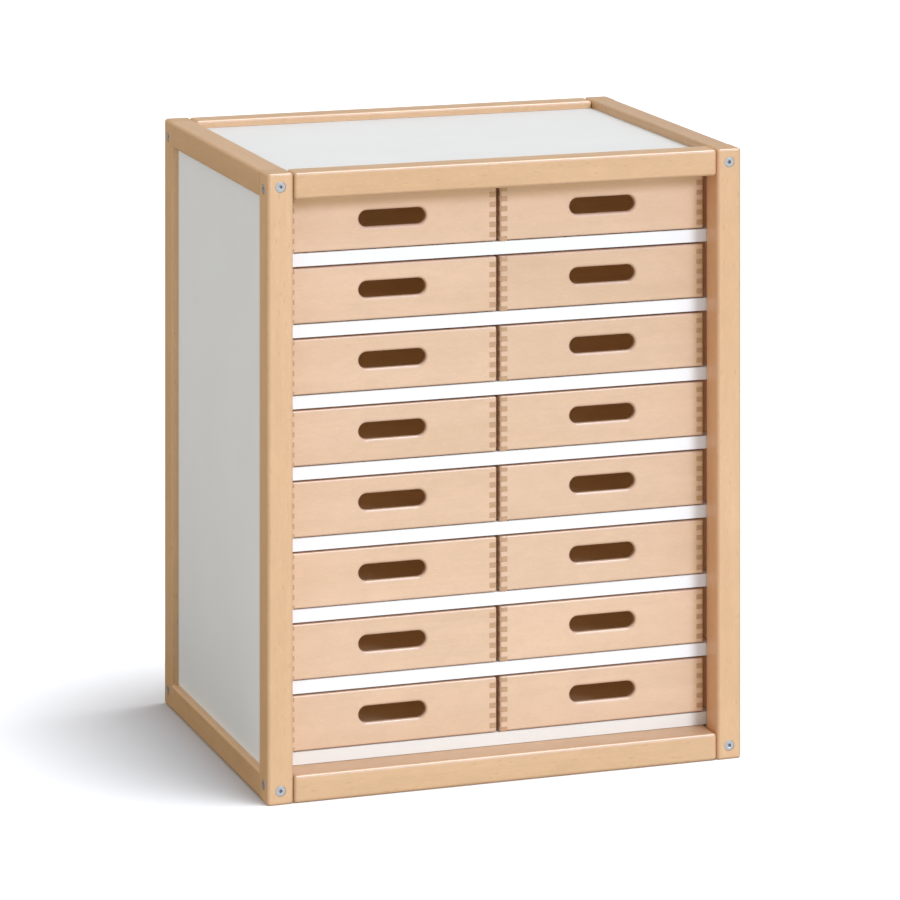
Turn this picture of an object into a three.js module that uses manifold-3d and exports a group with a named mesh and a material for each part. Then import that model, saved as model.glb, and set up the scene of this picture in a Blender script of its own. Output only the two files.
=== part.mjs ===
// Classroom tray storage unit: a beech frame of posts and rails holds white boards, and two columns of
// finger-jointed beech trays stand on the shelves and slide out to the front.
// Millimetres, +Z up, the front faces -Y, and the origin is the centre of the base.

import * as THREE from 'three';
import { mergeVertices } from 'three/addons/utils/BufferGeometryUtils.js';
import Module from 'manifold-3d';

const wasm = await Module();
wasm.setup();

// Trays: the unit is built round them
const ROWS = 8;
const COLUMNS = ['left', 'right'];
const TRAY_WIDTH = 320;
const TRAY_DEPTH = 470;
const TRAY_HEIGHT = 80.5;
const TRAY_WALL = 11;
const FINGER_COUNT = 11;
const TRAY_BOTTOM = 5;
const TRAY_BOTTOM_LIFT = 6;
const TRAY_BOTTOM_TONGUE = 5;

// Grip slot through each tray front, an oval with rounded rims
const SLOT_WIDTH = 102;
const SLOT_HEIGHT = 24;
const SLOT_RISE = 4.5;
const SLOT_RIM_RADIUS = 3;

// Room round the trays
const TRAY_GAP = 5;
const TRAY_SIDE_GAP = 3.5;
const TRAY_TOP_GAP = 2.5;
const TRAY_REAR_GAP = 12;
const TOP_ROW_GAP = 5;

// Beech frame
const POST_WIDTH = 38.5;
const POST_DEPTH = 45;
const RAIL_HEIGHT = 39;
const RAIL_DEPTH = 38.5;
const RAIL_INSET = 0.4;
const EDGE_RADIUS = 5;

// White boards: shelves and panels
const BOARD = 19;
const PANEL_RECESS = 10;
const TOP_RECESS = 12.7;
const GROOVE_DEPTH = 6;
const SHELF_HOUSING = 5;

// Connecting bolts: a shallow seat for each head
const BOLT_SEAT_DIAMETER = 16.5;
const BOLT_SEAT_DEPTH = 1;
const BOLT_STAGGER = 5;

// Clearances: seated pieces, and the glue line of a finger joint
const FIT = 0.3;
const GLUE_LINE = 0.15;

// How far pieces of one solid run into each other where they are joined
const LAP = 2;

// Facets
const EDGE_SEGMENTS = 2;
const SLOT_SEGMENTS = 4;
const BOLT_SEAT_SIDES = 12;

// Sizes that follow
const OPENING_WIDTH = COLUMNS.length * (TRAY_WIDTH + TRAY_GAP) - TRAY_GAP + 2 * TRAY_SIDE_GAP;
const UNIT_WIDTH = OPENING_WIDTH + 2 * POST_WIDTH;
const TRAY_SETBACK = POST_DEPTH + FIT;
const UNIT_DEPTH = TRAY_SETBACK + TRAY_DEPTH + TRAY_REAR_GAP + BOARD + PANEL_RECESS;
const SHELF_PITCH = BOARD + FIT + TRAY_HEIGHT + TRAY_TOP_GAP;
const BOTTOM_RAIL_TOP = RAIL_INSET + RAIL_HEIGHT;
const FIRST_SHELF = BOTTOM_RAIL_TOP + FIT;
const TOP_RAIL_BOTTOM = FIRST_SHELF + (ROWS - 1) * SHELF_PITCH + BOARD + FIT + TRAY_HEIGHT + TOP_ROW_GAP;
const UNIT_HEIGHT = TOP_RAIL_BOTTOM + RAIL_HEIGHT + RAIL_INSET;
const FINGER = TRAY_HEIGHT / FINGER_COUNT;
const END_RADIUS = 0.8 * EDGE_RADIUS;

// Planes of the unit
const OUTER_X = UNIT_WIDTH / 2;
const OUTER_Y = UNIT_DEPTH / 2;
const INNER_X = OPENING_WIDTH / 2;
const POST_INNER_Y = OUTER_Y - POST_DEPTH;
const RAIL_INNER_Y = OUTER_Y - RAIL_DEPTH;
const PANEL_INNER_X = OUTER_X - PANEL_RECESS - BOARD;
const PANEL_INNER_Y = OUTER_Y - PANEL_RECESS - BOARD;
const TRAY_FRONT_Y = -OUTER_Y + TRAY_SETBACK;
const TOP_BOARD_Z = UNIT_HEIGHT - TOP_RECESS;

const FINISHES = {
  beech: { color: 0xe3c19b, roughness: 0.45, metalness: 0 },
  trayBeech: { color: 0xeccdb0, roughness: 0.5, metalness: 0 },
  whiteBoard: { color: 0xf2f2f0, roughness: 0.35, metalness: 0 },
};

const SIDES = { left: -1, right: 1 };
const ENDS = { front: -1, rear: 1 };
const LEVELS = { bottom: 0, top: 1 };

// Closed geometry as a solid that can be joined and cut
function solidOf(geometry) {
  const bare = geometry.clone();
  bare.deleteAttribute('normal');
  bare.deleteAttribute('uv');
  const merged = mergeVertices(bare, 1e-4);
  return new wasm.Manifold(new wasm.Mesh({
    numProp: 3,
    vertProperties: new Float32Array(merged.attributes.position.array),
    triVerts: new Uint32Array(merged.index.array),
  }));
}

function geometryOf(solid) {
  const mesh = solid.getMesh();
  const geometry = new THREE.BufferGeometry();
  geometry.setAttribute('position', new THREE.BufferAttribute(new Float32Array(mesh.vertProperties), 3));
  geometry.setIndex(new THREE.BufferAttribute(new Uint32Array(mesh.triVerts), 1));
  geometry.computeVertexNormals();
  return geometry;
}

function pieceOf(name, solid, finish) {
  const mesh = new THREE.Mesh(geometryOf(solid), new THREE.MeshStandardMaterial(finish));
  mesh.name = name;
  return mesh;
}

// Box from two opposite corners, in any order on each axis
function boxOf(a, b) {
  return new THREE.Box3().setFromPoints([new THREE.Vector3(...a), new THREE.Vector3(...b)]);
}

function blockOf(box) {
  const size = box.getSize(new THREE.Vector3());
  const centre = box.getCenter(new THREE.Vector3());
  return solidOf(new THREE.BoxGeometry(size.x, size.y, size.z).translate(centre.x, centre.y, centre.z));
}

// Blank for the seat of a board: the board with the fitting clearance all round
function seatOf(box, clearance = FIT) {
  return blockOf(box.clone().expandByScalar(clearance));
}

function cutAll(solid, cutters) {
  return cutters.reduce((rest, cutter) => rest.subtract(cutter), solid);
}

function joinAll(solids) {
  return solids.reduce((sum, solid) => sum.add(solid));
}

function roundedRectangle(width, height, radius) {
  const x = width / 2 - radius;
  const y = height / 2 - radius;
  const shape = new THREE.Shape();
  shape.absarc(x, y, radius, 0, Math.PI / 2);
  shape.absarc(-x, y, radius, Math.PI / 2, Math.PI);
  shape.absarc(-x, -y, radius, Math.PI, 1.5 * Math.PI);
  shape.absarc(x, -y, radius, 1.5 * Math.PI, 2 * Math.PI);
  return shape;
}

// Bar along +Z from the origin with rounded long edges, and with rounded end edges where asked
function barGeometry(width, height, length, roundEnds) {
  const end = roundEnds ? END_RADIUS : 0;
  const geometry = new THREE.ExtrudeGeometry(roundedRectangle(width, height, EDGE_RADIUS), {
    depth: length - 2 * end,
    curveSegments: EDGE_SEGMENTS,
    bevelEnabled: roundEnds,
    bevelThickness: end,
    bevelSize: end,
    bevelOffset: -end,
    bevelSegments: EDGE_SEGMENTS,
  });
  return geometry.translate(0, 0, end);
}

// Bar that fills a box, laid along the given axis
function barSolid(box, axis, roundEnds) {
  const size = box.getSize(new THREE.Vector3());
  const centre = box.getCenter(new THREE.Vector3());
  const across = { x: [size.z, size.y], y: [size.x, size.z], z: [size.x, size.y] }[axis];
  const geometry = barGeometry(...across, size[axis], roundEnds).translate(0, 0, -size[axis] / 2);
  if (axis === 'x') geometry.rotateY(Math.PI / 2);
  if (axis === 'y') geometry.rotateX(Math.PI / 2);
  return solidOf(geometry.translate(centre.x, centre.y, centre.z));
}

// Places of the frame's members
function postBox(end, side) {
  return boxOf(
    [side * OUTER_X, end * OUTER_Y, 0],
    [side * INNER_X, end * POST_INNER_Y, UNIT_HEIGHT],
  );
}

function railLevels(level) {
  const low = level === LEVELS.top ? TOP_RAIL_BOTTOM : RAIL_INSET;
  return [low, low + RAIL_HEIGHT];
}

function crossRailBox(end, level) {
  const [low, high] = railLevels(level);
  return boxOf([-INNER_X + FIT, end * OUTER_Y, low], [INNER_X - FIT, end * RAIL_INNER_Y, high]);
}

function sideRailBox(side, level) {
  const [low, high] = railLevels(level);
  return boxOf([side * OUTER_X, -POST_INNER_Y + FIT, low], [side * INNER_X, POST_INNER_Y - FIT, high]);
}

// Places of the white boards
function sidePanelBox(side) {
  const reach = POST_INNER_Y + GROOVE_DEPTH;
  return boxOf(
    [side * (OUTER_X - PANEL_RECESS), -reach, BOTTOM_RAIL_TOP - GROOVE_DEPTH],
    [side * PANEL_INNER_X, reach, TOP_RAIL_BOTTOM + GROOVE_DEPTH],
  );
}

const backPanelBox = boxOf(
  [-INNER_X - GROOVE_DEPTH, PANEL_INNER_Y, BOTTOM_RAIL_TOP - GROOVE_DEPTH],
  [INNER_X + GROOVE_DEPTH, PANEL_INNER_Y + BOARD, TOP_RAIL_BOTTOM + GROOVE_DEPTH],
);

const topPanelBox = boxOf(
  [-INNER_X - GROOVE_DEPTH, -RAIL_INNER_Y - GROOVE_DEPTH, TOP_BOARD_Z - BOARD],
  [INNER_X + GROOVE_DEPTH, RAIL_INNER_Y + GROOVE_DEPTH, TOP_BOARD_Z],
);

function shelfBox(row) {
  const reach = PANEL_INNER_X + SHELF_HOUSING - FIT;
  const low = FIRST_SHELF + row * SHELF_PITCH;
  return boxOf([-reach, TRAY_FRONT_Y, low], [reach, PANEL_INNER_Y - FIT, low + BOARD]);
}

// Shallow round seat for a bolt head, sunk into a face whose normal lies along the given axis
function boltSeat(axis, x, y, z) {
  const radius = BOLT_SEAT_DIAMETER / 2;
  const seat = new THREE.CylinderGeometry(radius, radius, 2 * BOLT_SEAT_DEPTH, BOLT_SEAT_SIDES);
  if (axis === 'x') seat.rotateZ(Math.PI / 2);
  return solidOf(seat.translate(x, y, z));
}

// One bolt through each end of a post into the side rail, and one above it into the front or rear rail
function boltSeats(end, side) {
  const toSideRail = RAIL_INSET + RAIL_HEIGHT / 2;
  const toCrossRail = toSideRail + BOLT_STAGGER;
  const postX = side * (OUTER_X - POST_WIDTH / 2);
  const postY = end * (OUTER_Y - POST_DEPTH / 2);
  return [
    boltSeat('y', postX, end * OUTER_Y, toSideRail),
    boltSeat('y', postX, end * OUTER_Y, UNIT_HEIGHT - toSideRail),
    boltSeat('x', side * OUTER_X, postY, toCrossRail),
    boltSeat('x', side * OUTER_X, postY, UNIT_HEIGHT - toCrossRail),
  ];
}

function makePost(endName, sideName) {
  const end = ENDS[endName];
  const side = SIDES[sideName];
  const grooves = [seatOf(sidePanelBox(side))];
  if (end === ENDS.rear) grooves.push(seatOf(backPanelBox));
  const bar = barSolid(postBox(end, side), 'z', true);
  const post = cutAll(bar, [...grooves, ...boltSeats(end, side)]);
  return pieceOf(`${endName}_${sideName}_post`, post, FINISHES.beech);
}

function makeCrossRail(endName, levelName) {
  const grooves = [];
  if (levelName === 'top') grooves.push(seatOf(topPanelBox));
  if (endName === 'rear') grooves.push(seatOf(backPanelBox));
  const bar = barSolid(crossRailBox(ENDS[endName], LEVELS[levelName]), 'x', true);
  return pieceOf(`${endName}_${levelName}_rail`, cutAll(bar, grooves), FINISHES.beech);
}

function makeSideRail(sideName, levelName) {
  const grooves = [seatOf(sidePanelBox(SIDES[sideName]))];
  if (levelName === 'top') grooves.push(seatOf(topPanelBox));
  const bar = barSolid(sideRailBox(SIDES[sideName], LEVELS[levelName]), 'y', false);
  return pieceOf(`${sideName}_${levelName}_rail`, cutAll(bar, grooves), FINISHES.beech);
}

function makeFrame() {
  const frame = new THREE.Group();
  for (const end of Object.keys(ENDS)) {
    for (const side of Object.keys(SIDES)) frame.add(makePost(end, side));
    for (const level of Object.keys(LEVELS)) frame.add(makeCrossRail(end, level));
  }
  for (const side of Object.keys(SIDES)) {
    for (const level of Object.keys(LEVELS)) frame.add(makeSideRail(side, level));
  }
  return frame;
}

// Side panels are housed for the shelf ends, and the shelves are notched round the rear posts
function makeBoards() {
  const boards = new THREE.Group();
  const rows = [...Array(ROWS).keys()];
  const housings = rows.map((row) => seatOf(shelfBox(row)));
  const rearPosts = [seatOf(postBox(ENDS.rear, SIDES.left)), seatOf(postBox(ENDS.rear, SIDES.right))];
  const frontPosts = [seatOf(postBox(ENDS.front, SIDES.left)), seatOf(postBox(ENDS.front, SIDES.right))];
  for (const [name, side] of Object.entries(SIDES)) {
    const panel = cutAll(blockOf(sidePanelBox(side)), housings);
    boards.add(pieceOf(`${name}_side_panel`, panel, FINISHES.whiteBoard));
  }
  boards.add(pieceOf('back_panel', blockOf(backPanelBox), FINISHES.whiteBoard));
  const top = cutAll(blockOf(topPanelBox), [...rearPosts, ...frontPosts]);
  boards.add(pieceOf('top_panel', top, FINISHES.whiteBoard));
  for (const row of rows) {
    const shelf = cutAll(blockOf(shelfBox(row)), rearPosts);
    boards.add(pieceOf(`shelf_${row + 1}`, shelf, FINISHES.whiteBoard));
  }
  return boards;
}

// Tray geometry below has its origin at the front left bottom corner of the tray

// Upright edge of a finger-jointed board, from the bottom up: fingers reach the tip on every second
// division from the first one given, and are narrower than their sockets by the slack on each face
function fingerEdge(root, tip, first, slack) {
  const points = [];
  for (let i = 0; i < FINGER_COUNT; i += 1) {
    const isFinger = (i - first) % 2 === 0;
    const across = isFinger ? tip : root;
    const trim = isFinger ? slack : -slack;
    const low = i === 0 ? 0 : i * FINGER + trim;
    const high = i === FINGER_COUNT - 1 ? TRAY_HEIGHT : (i + 1) * FINGER - trim;
    points.push(new THREE.Vector2(across, low), new THREE.Vector2(across, high));
  }
  return points;
}

// Board of the tray's wall thickness, cut to an outline; its own axes are laid along those given
function trayBoard(outline, alongX, alongY, alongZ) {
  const board = new THREE.ExtrudeGeometry(new THREE.Shape(outline), { depth: TRAY_WALL, bevelEnabled: false });
  return board.applyMatrix4(new THREE.Matrix4().makeBasis(alongX, alongY, alongZ));
}

const AXIS_X = new THREE.Vector3(1, 0, 0);
const AXIS_Y = new THREE.Vector3(0, 1, 0);
const AXIS_Z = new THREE.Vector3(0, 0, 1);
const FINGER_ROOT = TRAY_WALL + GLUE_LINE;

// The bottom board fills the tray inside its walls and has a tongue that enters the tray front
const BOTTOM_LOW = TRAY_BOTTOM_LIFT;
const BOTTOM_HIGH = TRAY_BOTTOM_LIFT + TRAY_BOTTOM;
const trayBottomBox = boxOf(
  [TRAY_WALL - LAP, FINGER_ROOT, BOTTOM_LOW],
  [TRAY_WIDTH - TRAY_WALL + LAP, TRAY_DEPTH - TRAY_WALL + LAP, BOTTOM_HIGH],
);
const trayTongueBox = boxOf(
  [TRAY_WALL + 2 * FIT, TRAY_WALL - TRAY_BOTTOM_TONGUE, BOTTOM_LOW],
  [TRAY_WIDTH - TRAY_WALL - 2 * FIT, FINGER_ROOT + LAP, BOTTOM_HIGH],
);

// Oval bar that leaves the grip slot, flared at both faces of the tray front
function slotCutter() {
  const radius = SLOT_HEIGHT / 2;
  const straight = SLOT_WIDTH / 2 - radius;
  const oval = new THREE.Shape();
  oval.absarc(straight, 0, radius, -Math.PI / 2, Math.PI / 2);
  oval.absarc(-straight, 0, radius, Math.PI / 2, 1.5 * Math.PI);
  const cutter = new THREE.ExtrudeGeometry(oval, {
    depth: TRAY_WALL - 2 * SLOT_RIM_RADIUS,
    curveSegments: SLOT_SEGMENTS,
    bevelThickness: SLOT_RIM_RADIUS,
    bevelSize: -SLOT_RIM_RADIUS,
    bevelOffset: SLOT_RIM_RADIUS,
    bevelSegments: EDGE_SEGMENTS,
  });
  cutter.rotateX(Math.PI / 2);
  return solidOf(cutter.translate(TRAY_WIDTH / 2, TRAY_WALL - SLOT_RIM_RADIUS, TRAY_HEIGHT / 2 + SLOT_RISE));
}

function trayFrontSolid() {
  const outline = [
    ...fingerEdge(TRAY_WIDTH - FINGER_ROOT, TRAY_WIDTH, 0, GLUE_LINE),
    ...fingerEdge(FINGER_ROOT, 0, 1, GLUE_LINE).reverse(),
  ];
  const board = trayBoard(outline, AXIS_X, AXIS_Z, AXIS_Y.clone().negate()).translate(0, TRAY_WALL, 0);
  return cutAll(solidOf(board), [seatOf(trayTongueBox), slotCutter()]);
}

function traySideSolid(cornerX, first) {
  const outline = [
    new THREE.Vector2(TRAY_DEPTH, 0),
    new THREE.Vector2(TRAY_DEPTH, TRAY_HEIGHT),
    ...fingerEdge(FINGER_ROOT, 0, first, 0).reverse(),
  ];
  return solidOf(trayBoard(outline, AXIS_Y, AXIS_Z, AXIS_X).translate(cornerX, 0, 0));
}

// Sides, back and bottom of a tray, glued up as one
function trayBoxSolid() {
  const rightX = TRAY_WIDTH - TRAY_WALL;
  const back = boxOf(
    [TRAY_WALL - LAP, TRAY_DEPTH - TRAY_WALL, 0],
    [rightX + LAP, TRAY_DEPTH, TRAY_HEIGHT],
  );
  return joinAll([
    traySideSolid(0, 0),
    traySideSolid(rightX, 1),
    blockOf(back),
    blockOf(trayBottomBox),
    blockOf(trayTongueBox),
  ]);
}

function makeTrays() {
  const trays = new THREE.Group();
  const front = trayFrontSolid();
  const box = trayBoxSolid();
  for (let row = 0; row < ROWS; row += 1) {
    for (const [column, columnName] of COLUMNS.entries()) {
      const name = `tray_${row + 1}_${columnName}`;
      const tray = new THREE.Group();
      tray.add(pieceOf(`${name}_front`, front, FINISHES.trayBeech));
      tray.add(pieceOf(`${name}_box`, box, FINISHES.trayBeech));
      tray.position.set(
        -INNER_X + TRAY_SIDE_GAP + column * (TRAY_WIDTH + TRAY_GAP),
        TRAY_FRONT_Y,
        FIRST_SHELF + row * SHELF_PITCH + BOARD + FIT,
      );
      trays.add(tray);
    }
  }
  return trays;
}

const unit = new THREE.Group();
unit.name = 'classroom_tray_unit';
unit.add(makeFrame(), makeBoards(), makeTrays());

export default unit;
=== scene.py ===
"""Classroom tray storage unit: a beech frame with white boards and sixteen finger-jointed trays.

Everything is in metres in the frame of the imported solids: +Z is up, the open front faces -Y and the
origin is on the floor under the middle of the unit.
"""

import logging
import math
from collections.abc import Sequence
from dataclasses import dataclass, field, replace
from enum import Enum

import bmesh
import bpy
from mathutils import Matrix, Vector


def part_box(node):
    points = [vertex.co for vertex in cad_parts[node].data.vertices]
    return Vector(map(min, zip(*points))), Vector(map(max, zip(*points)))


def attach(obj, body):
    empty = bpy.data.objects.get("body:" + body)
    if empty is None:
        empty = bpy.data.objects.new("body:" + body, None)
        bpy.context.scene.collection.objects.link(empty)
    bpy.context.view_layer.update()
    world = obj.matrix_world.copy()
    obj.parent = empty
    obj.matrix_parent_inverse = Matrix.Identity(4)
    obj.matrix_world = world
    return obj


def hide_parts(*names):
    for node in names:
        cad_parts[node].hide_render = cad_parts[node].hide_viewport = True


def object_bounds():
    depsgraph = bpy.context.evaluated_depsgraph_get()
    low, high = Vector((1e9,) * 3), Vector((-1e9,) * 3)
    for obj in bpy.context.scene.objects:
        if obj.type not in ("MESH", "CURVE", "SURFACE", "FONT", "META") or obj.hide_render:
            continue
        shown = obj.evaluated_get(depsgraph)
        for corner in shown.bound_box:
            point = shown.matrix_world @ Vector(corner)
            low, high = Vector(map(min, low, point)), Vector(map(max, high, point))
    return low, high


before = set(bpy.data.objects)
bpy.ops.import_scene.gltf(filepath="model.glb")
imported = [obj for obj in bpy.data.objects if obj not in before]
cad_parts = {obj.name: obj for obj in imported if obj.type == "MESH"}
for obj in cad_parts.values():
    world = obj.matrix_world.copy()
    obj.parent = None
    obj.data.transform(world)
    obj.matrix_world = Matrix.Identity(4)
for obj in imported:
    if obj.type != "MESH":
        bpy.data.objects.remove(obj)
CAD_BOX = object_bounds()

LOG = logging.getLogger("tray_unit")

MM = 0.001
CABINET = "cabinet"
SIDES = ("left", "right")
ENDS = ("front", "rear")
LEVELS = ("bottom", "top")
PANELS = ("left_side_panel", "right_side_panel", "back_panel", "top_panel")
ROWS = range(1, 9)
SHARP_ANGLE = math.radians(40)
QUARTER_TURN = math.pi / 2
ROUND_PROFILE = 0.5
FULL_WEIGHT = 100
LEAST_RADIUS = 0.02 * MM
NEARLY_HALF_ROUND = 0.9999
LAMP_DISTANCE = 6.0

Point = tuple[float, float]
Span = tuple[float, float]
Triple = tuple[float, float, float]
Colour = tuple[float, float, float, float]
Outline = list[Point]
Box = tuple[Vector, Vector]
Mesh = bpy.types.Mesh
Thing = bpy.types.Object
Socket = bpy.types.NodeSocket


class Axis(Enum):
    """A direction of the unit, along which a bar, a board's grain or a loft runs."""

    X = 0
    Y = 1
    Z = 2

    def point(self, a: float, b: float, level: float) -> Vector:
        """Places a point of an outline.

        Args:
            a: Place along the next axis in the order X, Y, Z.
            b: Place along the axis after that.
            level: Place along this axis.

        Returns:
            The point in the unit's frame.
        """
        place = [0.0, 0.0, 0.0]
        place[self.value] = level
        place[(self.value + 1) % 3] = a
        place[(self.value + 2) % 3] = b
        return Vector(place)

    def across(self, corner: Vector) -> Point:
        """The two coordinates of a corner that lie across this axis."""
        return corner[(self.value + 1) % 3], corner[(self.value + 2) % 3]

    @property
    def direction(self) -> Triple:
        """The unit vector of this axis."""
        return tuple(self.point(0.0, 0.0, 1.0))

    @property
    def turn_to_x(self) -> Triple:
        """The turn that lays this axis along X, for grain patterns that run along X."""
        turns = ((0.0, 0.0, 0.0), (0.0, 0.0, -QUARTER_TURN), (0.0, QUARTER_TURN, 0.0))
        return turns[self.value]


class Cut(Enum):
    """What a cutting shape does to a blank."""

    AWAY = "DIFFERENCE"
    KEEP = "INTERSECT"


class Division(Enum):
    """What a finger-jointed edge has at its bottom."""

    FINGER = 0
    GAP = 1


def rounded_rectangle(low: Point, high: Point, radius: float, segments: int) -> Outline:
    """Draws a rectangle with round corners.

    Args:
        low: Corner with the smallest coordinates.
        high: Corner with the largest coordinates.
        radius: Radius of the corners.
        segments: Facets in each corner.

    Returns:
        The points in order round the outline.
    """
    centres = (
        (high[0] - radius, high[1] - radius),
        (low[0] + radius, high[1] - radius),
        (low[0] + radius, low[1] + radius),
        (high[0] - radius, low[1] + radius),
    )
    points = []
    for corner, (a, b) in enumerate(centres):
        for k in range(segments + 1):
            turn = (corner + k / segments) * QUARTER_TURN
            points.append((a + radius * math.cos(turn), b + radius * math.sin(turn)))
    return points


def ring(inscribed: float, count: int, corners: int = 0) -> Outline:
    """Draws a circle, or a regular polygon with extra points along its sides.

    Args:
        inscribed: The circle's radius, or the distance from the centre to the middle of a side.
        count: Number of points.
        corners: Number of corners; 0 draws a circle.

    Returns:
        The points in order round the centre.
    """
    points = []
    for k in range(count):
        turn = 2 * math.pi * k / count
        reach = inscribed
        if corners:
            sector = 2 * math.pi / corners
            reach = inscribed / math.cos((turn + sector / 2) % sector - sector / 2)
        points.append((reach * math.cos(turn), reach * math.sin(turn)))
    return points


def fillet(radius: float, segments: int) -> Outline:
    """Profile of a quarter-round edge.

    Args:
        radius: Radius of the edge; 0 gives a square edge.
        segments: Facets in the quarter.

    Returns:
        Pairs of inset and rise, from the flat end, where the inset is the radius, to the side.
    """
    if not radius:
        return [(0.0, 0.0)]
    turns = [k * QUARTER_TURN / segments for k in range(segments + 1)]
    return [(radius * (1 - math.sin(turn)), radius * (1 - math.cos(turn))) for turn in turns]


def loft(axis: Axis, rings: list[tuple[float, Outline]]) -> Mesh:
    """Skins a row of outlines with as many points each, and closes both ends.

    Args:
        axis: Axis that the outlines are stacked along.
        rings: Level and outline of each ring.

    Returns:
        The closed mesh.
    """
    shape = bmesh.new()
    rows = []
    for level, outline in rings:
        rows.append([shape.verts.new(axis.point(a, b, level)) for a, b in outline])
    for near, far in zip(rows, rows[1:]):
        for k, corner in enumerate(near):
            after = (k + 1) % len(near)
            shape.faces.new((corner, near[after], far[after], far[k]))
    shape.faces.new(rows[0])
    shape.faces.new(rows[-1])
    bmesh.ops.recalc_face_normals(shape, faces=shape.faces)
    return mesh_from(shape)


def mesh_from(shape: bmesh.types.BMesh) -> Mesh:
    """Turns a worked shape into a mesh and frees the shape.

    Args:
        shape: The worked shape.

    Returns:
        The mesh.
    """
    mesh = bpy.data.meshes.new("board")
    shape.to_mesh(mesh)
    shape.free()
    return mesh


def stacked(axis: Axis, low: Point, high: Point, levels: list[Triple], segments: int) -> Mesh:
    """Makes a block from rectangles with round corners that grow or shrink from level to level.

    Args:
        axis: Axis that the rectangles are stacked along.
        low: Corner of the plain rectangle with the smallest coordinates.
        high: Corner of the plain rectangle with the largest coordinates.
        levels: Level of each rectangle, how far it reaches past the plain one, and its corners' radius.
        segments: Facets in each corner.

    Returns:
        The block's mesh.
    """
    rings = []
    for level, reach, radius in levels:
        near = (low[0] - reach, low[1] - reach)
        far = (high[0] + reach, high[1] + reach)
        rings.append((level, rounded_rectangle(near, far, radius, segments)))
    return loft(axis, rings)


def rounded_block(axis: Axis, box: Box, edge: float, near: float, far: float, segments: int) -> Mesh:
    """Makes a block with round long edges and round ends.

    Args:
        axis: Axis that the long edges run along.
        box: Lowest and highest corner.
        edge: Radius of the long edges.
        near: Radius round the end with the lower level; 0 leaves it square.
        far: Radius round the end with the higher level; 0 leaves it square.
        segments: Facets in each quarter round.

    Returns:
        The block's mesh.
    """
    low, high = box
    insets = [(low[axis.value] + rise, inset) for inset, rise in fillet(near, segments)]
    insets += [(high[axis.value] - rise, inset) for inset, rise in reversed(fillet(far, segments))]
    levels = [(level, -inset, max(edge - inset, LEAST_RADIUS)) for level, inset in insets]
    return stacked(axis, axis.across(low), axis.across(high), levels, segments)


def plain_block(box: Box) -> Mesh:
    """Makes a square-edged block, for cutting or to be rounded.

    Args:
        box: Lowest and highest corner.

    Returns:
        The block's mesh.
    """
    low, high = box
    shape = bmesh.new()
    size = Matrix.Diagonal((*(high - low), 1.0))
    bmesh.ops.create_cube(shape, size=1.0, matrix=Matrix.Translation((low + high) / 2) @ size)
    return mesh_from(shape)


def eased(mesh: Mesh, radius: float, segments: int) -> Mesh:
    """Rounds every edge of a square-edged board.

    Args:
        mesh: The board, which is changed.
        radius: Radius of its edges.
        segments: Facets in each edge.

    Returns:
        The same mesh.
    """
    shape = bmesh.new()
    shape.from_mesh(mesh)
    bmesh.ops.bevel(
        shape,
        geom=shape.edges[:],
        offset=radius,
        offset_type="OFFSET",
        segments=segments,
        profile=ROUND_PROFILE,
        affect="EDGES",
    )
    shape.to_mesh(mesh)
    shape.free()
    return mesh


def grown(box: Box, room: float) -> Box:
    """A box with room added on every side."""
    margin = Vector((room, room, room))
    return box[0] - margin, box[1] + margin


def overlaps(first: Box, second: Box) -> bool:
    """Whether two boxes share some space."""
    return all(first[0][k] < second[1][k] and second[0][k] < first[1][k] for k in range(3))


def new_object(name: str, data: bpy.types.ID | None) -> Thing:
    """Puts a mesh, a light, a camera or an empty stand in the scene.

    Args:
        name: Name of the object.
        data: What the object shows; None makes an empty stand.

    Returns:
        The object.
    """
    made = bpy.data.objects.new(name, data)
    bpy.context.scene.collection.objects.link(made)
    return made


def carve(blank: Mesh, tool: Mesh, cut: Cut) -> Mesh:
    """Cuts a blank with another closed shape; both are used up.

    Args:
        blank: The shape that is cut.
        tool: The shape that cuts.
        cut: Whether the tool's space is taken away or kept.

    Returns:
        The cut mesh.
    """
    work = new_object("blank", blank)
    cutter = new_object("cutter", tool)
    step = work.modifiers.new("cut", "BOOLEAN")
    step.operation = cut.value
    step.solver = "EXACT"
    step.object = cutter
    state = bpy.context.evaluated_depsgraph_get()
    carved = bpy.data.meshes.new_from_object(work.evaluated_get(state))
    for used in (work, cutter):
        bpy.data.objects.remove(used)
    for used in (blank, tool):
        bpy.data.meshes.remove(used)
    return carved


def dress(mesh: Mesh, finish: bpy.types.Material) -> Mesh:
    """Gives a mesh its finish and smooth rounded edges.

    Args:
        mesh: The mesh of one piece.
        finish: Its material.

    Returns:
        The same mesh.
    """
    mesh.materials.clear()
    mesh.materials.append(finish)
    mesh.shade_smooth()
    mesh.set_sharp_from_angle(angle=SHARP_ANGLE)
    return mesh


def fit_piece(name: str, mesh: Mesh, body: str, nodes: tuple[str, ...] = ()) -> Thing:
    """Puts a finished mesh on its body.

    Args:
        name: Name of the piece.
        mesh: Its dressed mesh.
        body: Body that carries it.
        nodes: Solids that it stands for.

    Returns:
        The piece, riding on its body.
    """
    piece = new_object(name, mesh)
    shading = piece.modifiers.new("even_shading", "WEIGHTED_NORMAL")
    shading.keep_sharp = True
    shading.weight = FULL_WEIGHT
    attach(piece, body)
    if nodes:
        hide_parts(*nodes)
    LOG.info("%s rides on %s", name, body)
    return piece


@dataclass(frozen=True)
class Cloud:
    """A cloudy pattern: its features per metre along and across the grain, and its character."""

    along: float
    across: float
    detail: float
    roughness: float
    swirl: float = 0.0


@dataclass(frozen=True)
class Speckle:
    """Scattered soft specks: their number per metre along and across the grain, and their reach."""

    along: float
    across: float
    full: float
    gone: float


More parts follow.
